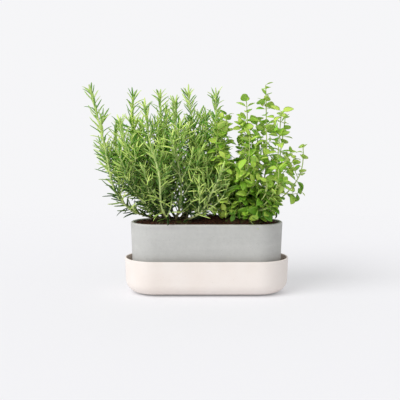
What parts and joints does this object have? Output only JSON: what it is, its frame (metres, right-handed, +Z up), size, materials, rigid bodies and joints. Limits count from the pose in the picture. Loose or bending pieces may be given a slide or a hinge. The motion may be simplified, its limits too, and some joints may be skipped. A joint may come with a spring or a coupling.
{
  "type": "indoor herb planter",
  "caption": "Herb planter with round ends: a drafted stoneware pot on feet in a deep drip tray, filled with soil and planted with rosemary and oregano.",
  "frame": {"origin": "middle of the drip tray's flat base, on the surface that the planter stands on", "axes": "+X along the planter towards the oregano, +Y towards the back, +Z up"},
  "size_m": [0.4239, 0.1563, 0.3972],
  "materials": {
    "tray_glaze": "satin",
    "pot_stoneware": "matte",
    "screen_plastic": "satin",
    "soil": "matte",
    "root_ball": "matte",
    "rosemary_foliage": "satin",
    "oregano_foliage": "satin"
  },
  "bodies": {
    "tray": {"drip_tray": "tray_glaze"},
    "pot": {"drain_screens": "screen_plastic", "oregano_root_ball": "root_ball", "oregano_shoot_01": "oregano_foliage", "oregano_shoot_02": "oregano_foliage", "oregano_shoot_03": "oregano_foliage", "oregano_shoot_04": "oregano_foliage", "oregano_shoot_05": "oregano_foliage", "oregano_shoot_06": "oregano_foliage", "oregano_shoot_07": "oregano_foliage", "oregano_shoot_08": "oregano_foliage", "oregano_shoot_09": "oregano_foliage", "oregano_shoot_10": "oregano_foliage", "oregano_shoot_11": "oregano_foliage", "oregano_shoot_12": "oregano_foliage", "pot": "pot_stoneware", "potting_soil": "soil", "rosemary_root_ball": "root_ball", "rosemary_shoot_01": "rosemary_foliage", "rosemary_shoot_02": "rosemary_foliage", "rosemary_shoot_03": "rosemary_foliage", "rosemary_shoot_04": "rosemary_foliage", "rosemary_shoot_05": "rosemary_foliage", "rosemary_shoot_06": "rosemary_foliage", "rosemary_shoot_07": "rosemary_foliage", "rosemary_shoot_08": "rosemary_foliage", "rosemary_shoot_09": "rosemary_foliage", "rosemary_shoot_10": "rosemary_foliage", "rosemary_shoot_11": "rosemary_foliage", "rosemary_shoot_12": "rosemary_foliage", "rosemary_shoot_13": "rosemary_foliage", "rosemary_shoot_14": "rosemary_foliage"}
  },
  "joints": [
    {"name": "pot_lift", "type": "slide", "parent": "tray", "child": "pot", "axis": [0, 0, 1], "range_m": [0, 0.08]}
  ]
}
